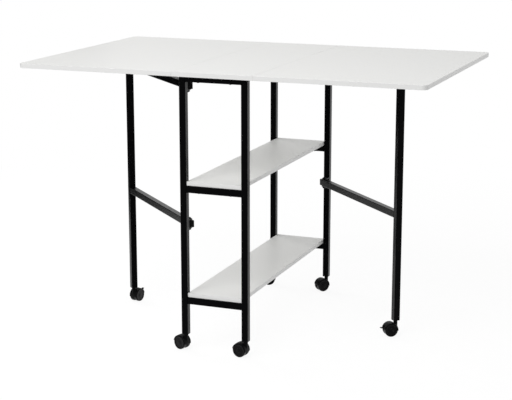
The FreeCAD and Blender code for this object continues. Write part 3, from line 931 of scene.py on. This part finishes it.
# %% Camera
picture_width = 512
focal_pixels = 1398.65
camera_yaw = math.radians(21.390)
camera_pitch = math.radians(13.001)
camera_place = Vector((1858.46, -4796.61, 1651.77)) * MM


def camera_axes(yaw, pitch):
    level_share = math.cos(pitch)
    back = Vector((math.sin(yaw) * level_share, -math.cos(yaw) * level_share, math.sin(pitch)))
    right = Vector((math.cos(yaw), math.sin(yaw), 0))
    return right, back.cross(right), back


def make_camera():
    lens = bpy.data.cameras.new("camera")
    lens.sensor_fit = "HORIZONTAL"
    lens.sensor_width = 36.0
    lens.lens = focal_pixels / picture_width * lens.sensor_width
    lens.clip_end = 200.0
    camera = bpy.data.objects.new("camera", lens)
    turn = Matrix(camera_axes(camera_yaw, camera_pitch)).transposed().to_4x4()
    camera.matrix_world = Matrix.Translation(camera_place) @ turn
    scene.collection.objects.link(camera)
    scene.camera = camera
    print("camera lens", round(lens.lens, 1), "mm")


make_camera()

# %% [markdown]
# ## The floor
# The floor is a wide pale sheet. A shadow catcher is the usual way to a clean white ground, but
# it needs a second step after the render, so the white is in the material. Rays that only carry
# light meet plain paint, which throws light up under the boards. Rays from the camera or in a
# reflection meet a glow of just under full white with a little paint added. Beside the table the
# light on that paint makes up the missing white, and under the table it doesn't, so a soft trace
# of shadow stays and the wheels don't float. The trace fades out a few steps away, where the
# lamps don't reach. Light Path tells the rays apart.

# %% Sheets, and the rays that show them
def flat_sheet(name, corners, surface):
    """Makes a sheet of four corners and gives it back with its new material's empty node tree."""
    mesh = bpy.data.meshes.new(name)
    mesh.from_pydata(corners, [], [(0, 1, 2, 3)])
    sheet = bpy.data.objects.new(name, mesh)
    scene.collection.objects.link(sheet)
    material = bpy.data.materials.new(surface)
    mesh.materials.append(material)
    return sheet, empty_tree(material)


def is_shown(tree):
    """1 where a thing is seen, straight, mirrored or through glass, and 0 where it only lights."""
    ray = add(tree, "LightPath")
    direct = add(tree, "Math", {"operation": "MAXIMUM"},
                 {0: ray.outputs["Is Camera Ray"], 1: ray.outputs["Is Glossy Ray"]})
    shown = add(tree, "Math", {"operation": "MAXIMUM"},
                {0: direct.outputs[0], 1: ray.outputs["Is Transmission Ray"]})
    return shown.outputs[0]


meshes = [thing for thing in scene.objects if thing.type == "MESH"]
print("meshes before the set is built:", len(meshes))

# %% Floor
floor_white = "#F2F2F2"
floor_size = 60.0  # this and the other sizes of the set are in metres
shadow_share = 0.12
open_floor_light = 0.8  # what the sky and the lamps together give the floor beside the table
shadow_reach = (1.3, 3.2)  # distances from the table's middle between which the trace fades out


def make_floor():
    half = floor_size / 2
    corners = [(-half, -half, 0), (half, -half, 0), (half, half, 0), (-half, half, 0)]
    floor, tree = flat_sheet("studio_floor", corners, "painted_studio_floor")
    paint = add(tree, "BsdfDiffuse", {"Color": linear(floor_white)})
    trace = add(tree, "BsdfDiffuse", {"Color": (shadow_share, shadow_share, shadow_share, 1)})
    glow = add(tree, "Emission", {"Strength": 1.0 - shadow_share * open_floor_light})
    shadowed = add(tree, "AddShader", links={0: glow.outputs[0], 1: trace.outputs[0]})
    place = add(tree, "TexCoord").outputs
    from_table = add(tree, "VectorMath", {"operation": "LENGTH"}, {0: place["Object"]})
    fade = add(tree, "MapRange", {
        "interpolation_type": "SMOOTHSTEP",
        "From Min": shadow_reach[0],
        "From Max": shadow_reach[1],
    }, {"Value": from_table.outputs["Value"]})
    white = add(tree, "Emission", {"Strength": 1.0})
    seen = add(tree, "MixShader",
               links={0: fade.outputs["Result"], 1: shadowed.outputs[0], 2: white.outputs[0]})
    surface = add(tree, "MixShader",
                  links={0: is_shown(tree), 1: paint.outputs[0], 2: seen.outputs[0]})
    add(tree, "OutputMaterial", links={"Surface": surface.outputs[0]})


make_floor()
print("floor", floor_size, "m square")

# %% [markdown]
# ## A card for the black tube
# Black gloss shows what stands around it more than its own colour. In an all-white room, the
# tube's slanted faces would turn grey, and dimmer lamps would grey the boards as well. A studio
# stands a sheet of black felt beside a set like this, just out of sight, so that the faces that
# mirror it stay dark. Here only reflections see the card.

# %% Felt card
card_black = "#202020"
card_x = -1.9
card_y = (-0.8, 2.4)
card_height = 1.6


def make_card():
    near, far = card_y
    foot = [(card_x, near, 0), (card_x, far, 0)]
    top = [(card_x, far, card_height), (card_x, near, card_height)]
    card, tree = flat_sheet("felt_card", foot + top, "black_felt")
    felt = add(tree, "BsdfDiffuse", {"Color": linear(card_black)})
    add(tree, "OutputMaterial", links={"Surface": felt.outputs[0]})
    card.visible_camera = False
    card.visible_diffuse = False
    card.visible_shadow = False


make_card()
print("felt card", card_height, "m high")

# %% [markdown]
# ## Sky and lamps
# A panorama of a real studio, wrapped round the scene, would light it too, but an even sky and
# two lamps can be read and changed. A big soft lamp from the front models the top, and a second
# one stands lower at the left, where its light comes in under the top and reaches the shelves.
# The sky fills in the rest. It is dimmer as light than as background, which Light Path lets one
# world do. The low lamp leaves no highlight, as with a polarising sheet over it, and the camera
# sees neither lamp.

# %% Sky
sky_strength = 0.49


def make_sky():
    world = bpy.data.worlds.new("studio_sky")
    tree = empty_tree(world)
    strength = add(tree, "MapRange", {"To Min": sky_strength, "To Max": 1.0},
                   {"Value": is_shown(tree)})
    sky = add(tree, "Background", {"Color": (1, 1, 1, 1)}, {"Strength": strength.outputs["Result"]})
    add(tree, "OutputWorld", links={"Surface": sky.outputs[0]})
    scene.world = world


make_sky()
print("sky", sky_strength, "as light and 1 as background")


# %% Lamps
def soft_lamp(name, place, target, size, watts, in_reflections=True):
    light = bpy.data.lights.new(name, "AREA")
    light.shape = "SQUARE"
    light.size = size
    light.energy = watts
    lamp = bpy.data.objects.new(name, light)
    aim = (Vector(target) - Vector(place)).to_track_quat("-Z", "Y")
    lamp.matrix_world = Matrix.Translation(place) @ aim.to_matrix().to_4x4()
    lamp.visible_camera = False
    lamp.visible_glossy = in_reflections
    scene.collection.objects.link(lamp)
    print(name, "of", watts, "W")


soft_lamp("key_softbox", place=(-0.5, -2.7, 3.6), target=(-0.05, 0, 0.9), size=2.4, watts=68.0)
soft_lamp("side_softbox", place=(-4.3, 1.8, 2.0), target=(-0.05, 0, 0.7), size=2.5, watts=92.0,
          in_reflections=False)
scene.view_settings.view_transform = "Standard"

# %% [markdown]
